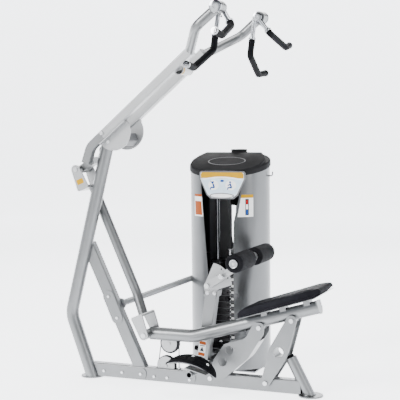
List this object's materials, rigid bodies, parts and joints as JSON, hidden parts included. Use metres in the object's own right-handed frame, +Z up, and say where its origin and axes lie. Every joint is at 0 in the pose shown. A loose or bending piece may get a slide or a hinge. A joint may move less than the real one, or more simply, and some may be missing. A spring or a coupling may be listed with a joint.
{
  "type": "lat pulldown machine",
  "caption": "Selectorized pulldown machine: pivoting overhead arm with swivel grips, rocking seat linked by a push rod, thigh rollers and a shrouded weight tower.",
  "frame": {"origin": "on the floor, under the middle of the whole machine's bounding box", "axes": "+Z up; +X along the base rail from the tall rear upright to the seat's back end, so the user sits facing -X; +Y towards the weight tower"},
  "size_m": [1.6297, 1.3298, 2.172],
  "materials": {
    "frame_paint": "light silver-grey powder coat",
    "white_paint": "near-white powder coat",
    "dark_paint": "mid-grey powder coat",
    "shroud_paint": "silver metallic powder coat",
    "liner": "dark grey sheet",
    "cap_plastic": "dark grey moulding",
    "steel": "machined",
    "chrome": "polished",
    "weight_paint": "black paint",
    "rubber": "matt",
    "foam": "skinned foam",
    "vinyl": "black upholstery vinyl",
    "board": "printed board",
    "cable": "nylon-coated steel cable",
    "sheave_plastic": "moulded nylon",
    "knob": "yellow moulding"
  },
  "bodies": {
    "base": {"base_rail": "frame_paint", "splice_plates": "frame_paint", "frame_bolts": "steel", "foot_plates": "frame_paint", "rear_upright": "frame_paint", "slanted_column": "frame_paint", "rear_leg": "frame_paint", "stop_bumpers": "rubber", "cross_channel": "frame_paint", "tower_strut": "dark_paint", "rocker_shafts": "steel", "thigh_post": "frame_paint", "sector_plate": "white_paint", "foot_bar": "frame_paint", "foot_pads": "rubber", "base_pulley_covers": "white_paint", "cable_hardware": "steel", "cable": "cable", "tower_frame": "dark_paint", "guide_rods": "chrome", "weight_stack": "weight_paint", "shroud_left": "shroud_paint", "shroud_right": "shroud_paint", "shroud_back": "liner", "tower_cap": "cap_plastic", "placard": "board"},
    "arm": {"arm_beams": "white_paint", "arm_lever": "white_paint", "pivot_plates": "white_paint", "arm_axle": "steel", "pivot_block": "liner", "arm_tubes": "white_paint"},
    "handle_near": {"handle_near": "chrome", "grips_near": "rubber"},
    "handle_far": {"handle_far": "chrome", "grips_far": "rubber"},
    "push_rod": {"push_rod_tube": "frame_paint", "rod_forks": "white_paint", "rod_pins": "steel"},
    "front_rocker": {"front_rocker": "frame_paint", "front_rocker_pin": "steel"},
    "rear_rocker": {"rear_rocker": "frame_paint", "rear_rocker_pin": "steel"},
    "carriage": {"carriage_tube": "frame_paint", "seat_pan": "frame_paint", "seat_pad": "vinyl", "carriage_pulley_covers": "white_paint"},
    "carriage_sheave": {"carriage_sheave": "sheave_plastic"},
    "base_sheave": {"base_sheave": "sheave_plastic"},
    "corner_sheave": {"corner_sheave": "sheave_plastic"},
    "tower_sheave": {"tower_sheave": "sheave_plastic"},
    "top_sheave": {"top_sheave": "sheave_plastic"},
    "thigh_arm": {"thigh_arm": "white_paint", "roller_shaft": "chrome"},
    "roller_near": {"roller_near": "foam"},
    "roller_far": {"roller_far": "foam"},
    "lock_pin": {"lock_pin": "knob"},
    "weights": {"lifted_plates": "weight_paint", "selector_stem": "steel"},
    "selector_pin": {"selector_pin": "knob"}
  },
  "joints": [
    {"name": "arm_pivot", "type": "hinge", "parent": "base", "child": "arm", "pos_m": [-0.4828, -0.0401, 1.422], "axis": [0, 1, 0], "range_deg": [0, 30], "deforming": ["cable"]},
    {"name": "handle_near_swivel", "type": "hinge", "parent": "arm", "child": "handle_near", "pos_m": [0.3102, -0.3811, 2.138], "axis": [0, 1, 0], "range_deg": [-30, 18]},
    {"name": "handle_far_swivel", "type": "hinge", "parent": "arm", "child": "handle_far", "pos_m": [0.3102, 0.3009, 2.138], "axis": [0, 1, 0], "range_deg": [-30, 18]},
    {"name": "rod_top_pivot", "type": "hinge", "parent": "arm", "child": "push_rod", "pos_m": [-0.7068, -0.0401, 1.256], "axis": [0, 1, 0], "range_deg": [-31, 0]},
    {"name": "front_rocker_pivot", "type": "hinge", "parent": "base", "child": "front_rocker", "pos_m": [0.1282, -0.0401, 0.062], "axis": [0, 1, 0], "range_deg": [-9, 0]},
    {"name": "carriage_pivot", "type": "hinge", "parent": "front_rocker", "child": "carriage", "pos_m": [0.4252, -0.0401, 0.374], "axis": [0, 1, 0], "range_deg": [0, 16.5]},
    {"name": "rear_rocker_pivot", "type": "hinge", "parent": "base", "child": "rear_rocker", "pos_m": [0.4612, -0.0401, 0.062], "axis": [0, 1, 0], "range_deg": [-7, 0]},
    {"name": "weights_lift", "type": "slide", "parent": "base", "child": "weights", "axis": [0, 0, 1], "range_m": [0, 0.245]},
    {"name": "selector_pin_pull", "type": "slide", "parent": "weights", "child": "selector_pin", "axis": [0, -1, 0], "range_m": [0, 0.07]},
    {"name": "base_sheave_spin", "type": "hinge", "parent": "base", "child": "base_sheave", "pos_m": [-0.1658, -0.0401, 0.104], "axis": [0, 1, 0], "range_deg": [0, 250]},
    {"name": "carriage_sheave_spin", "type": "hinge", "parent": "carriage", "child": "carriage_sheave", "pos_m": [-0.1438, -0.0401, 0.238], "axis": [0, 1, 0], "range_deg": [0, 118]},
    {"name": "corner_sheave_spin", "type": "hinge", "parent": "base", "child": "corner_sheave", "pos_m": [0.0052, 0.0049, 0.048], "axis": [0, 0, 1], "range_deg": [-312, 0]},
    {"name": "tower_sheave_spin", "type": "hinge", "parent": "base", "child": "tower_sheave", "pos_m": [0.0502, 0.5709, 0.093], "axis": [1, 0, 0], "range_deg": [-312, 0]},
    {"name": "top_sheave_spin", "type": "hinge", "parent": "base", "child": "top_sheave", "pos_m": [0.0502, 0.5379, 1.09], "axis": [1, 0, 0], "range_deg": [-181, 0]},
    {"name": "thigh_arm_pivot", "type": "hinge", "parent": "base", "child": "thigh_arm", "pos_m": [0.0932, -0.0261, 0.588], "axis": [0, 1, 0], "range_deg": [-22, 0]},
    {"name": "roller_near_spin", "type": "hinge", "parent": "thigh_arm", "child": "roller_near", "pos_m": [0.3632, -0.1951, 0.764], "axis": [0, 1, 0], "continuous": true},
    {"name": "roller_far_spin", "type": "hinge", "parent": "thigh_arm", "child": "roller_far", "pos_m": [0.3632, 0.1149, 0.764], "axis": [0, 1, 0], "continuous": true},
    {"name": "lock_pin_slide", "type": "slide", "parent": "thigh_arm", "child": "lock_pin", "axis": [0, 1, 0], "range_m": [0, 0.007]}
  ],
  "couplings": [
    {"joint": "rod_top_pivot", "follows": "arm_pivot", "ratio": -1.0097},
    {"joint": "front_rocker_pivot", "follows": "arm_pivot", "ratio": -0.28473},
    {"joint": "carriage_pivot", "follows": "arm_pivot", "ratio": 0.53486},
    {"joint": "rear_rocker_pivot", "follows": "arm_pivot", "ratio": -0.22417},
    {"joint": "weights_lift", "follows": "arm_pivot", "m_per_rad": 0.46562},
    {"joint": "base_sheave_spin", "follows": "arm_pivot", "ratio": 8.3147},
    {"joint": "carriage_sheave_spin", "follows": "arm_pivot", "ratio": 3.9072},
    {"joint": "corner_sheave_spin", "follows": "arm_pivot", "ratio": -10.347},
    {"joint": "tower_sheave_spin", "follows": "arm_pivot", "ratio": -10.347},
    {"joint": "top_sheave_spin", "follows": "arm_pivot", "ratio": -5.9695}
  ]
}
